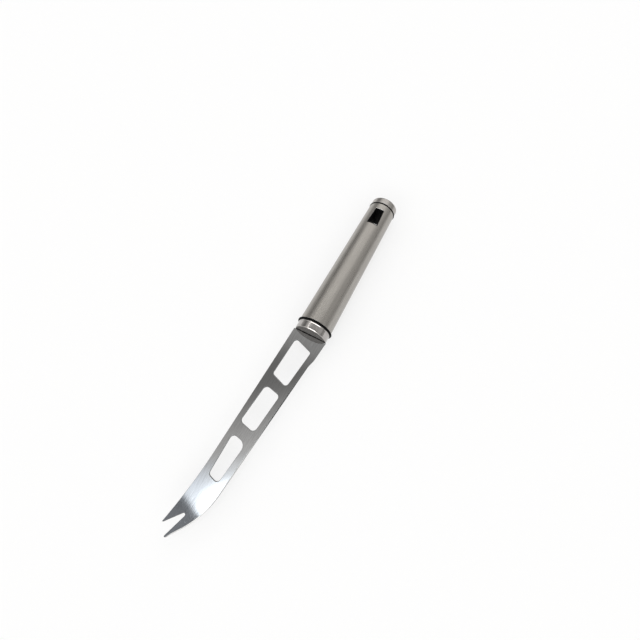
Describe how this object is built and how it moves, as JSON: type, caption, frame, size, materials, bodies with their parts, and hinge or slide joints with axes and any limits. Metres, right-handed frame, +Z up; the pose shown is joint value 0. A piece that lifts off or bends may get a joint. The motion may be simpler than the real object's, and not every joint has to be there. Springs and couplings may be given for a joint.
{
  "type": "cheese knife",
  "caption": "Cheese knife with a windowed steel blade, forked tip and hollow round steel handle with a cap and a black ring at each end and a hang hole.",
  "frame": {"origin": "bottom centre of the knife's box as it lies flat, level with the lowest point of the front ring", "axes": "+X along the handle to the forked tip, +Y to the side of the cutting edge, +Z up, square to the blade"},
  "size_m": [0.2298, 0.0288, 0.0216],
  "materials": {
    "blade_steel": "fine satin grinding along the blade, bright ground edge",
    "cap_steel": "polished, with faint turning marks",
    "tube_steel": "lengthwise brushed satin",
    "ring_rubber": "smooth black",
    "plug_plastic": "moulded, matt",
    "liner_plastic": "moulded, matt black"
  },
  "bodies": {
    "root": {"blade": "blade_steel", "front_cap": "cap_steel", "front_ring": "ring_rubber", "handle_tube": "tube_steel", "rear_ring": "ring_rubber", "end_cap": "cap_steel", "core_plug": "plug_plastic", "hang_liner": "liner_plastic"}
  },
  "joints": []
}
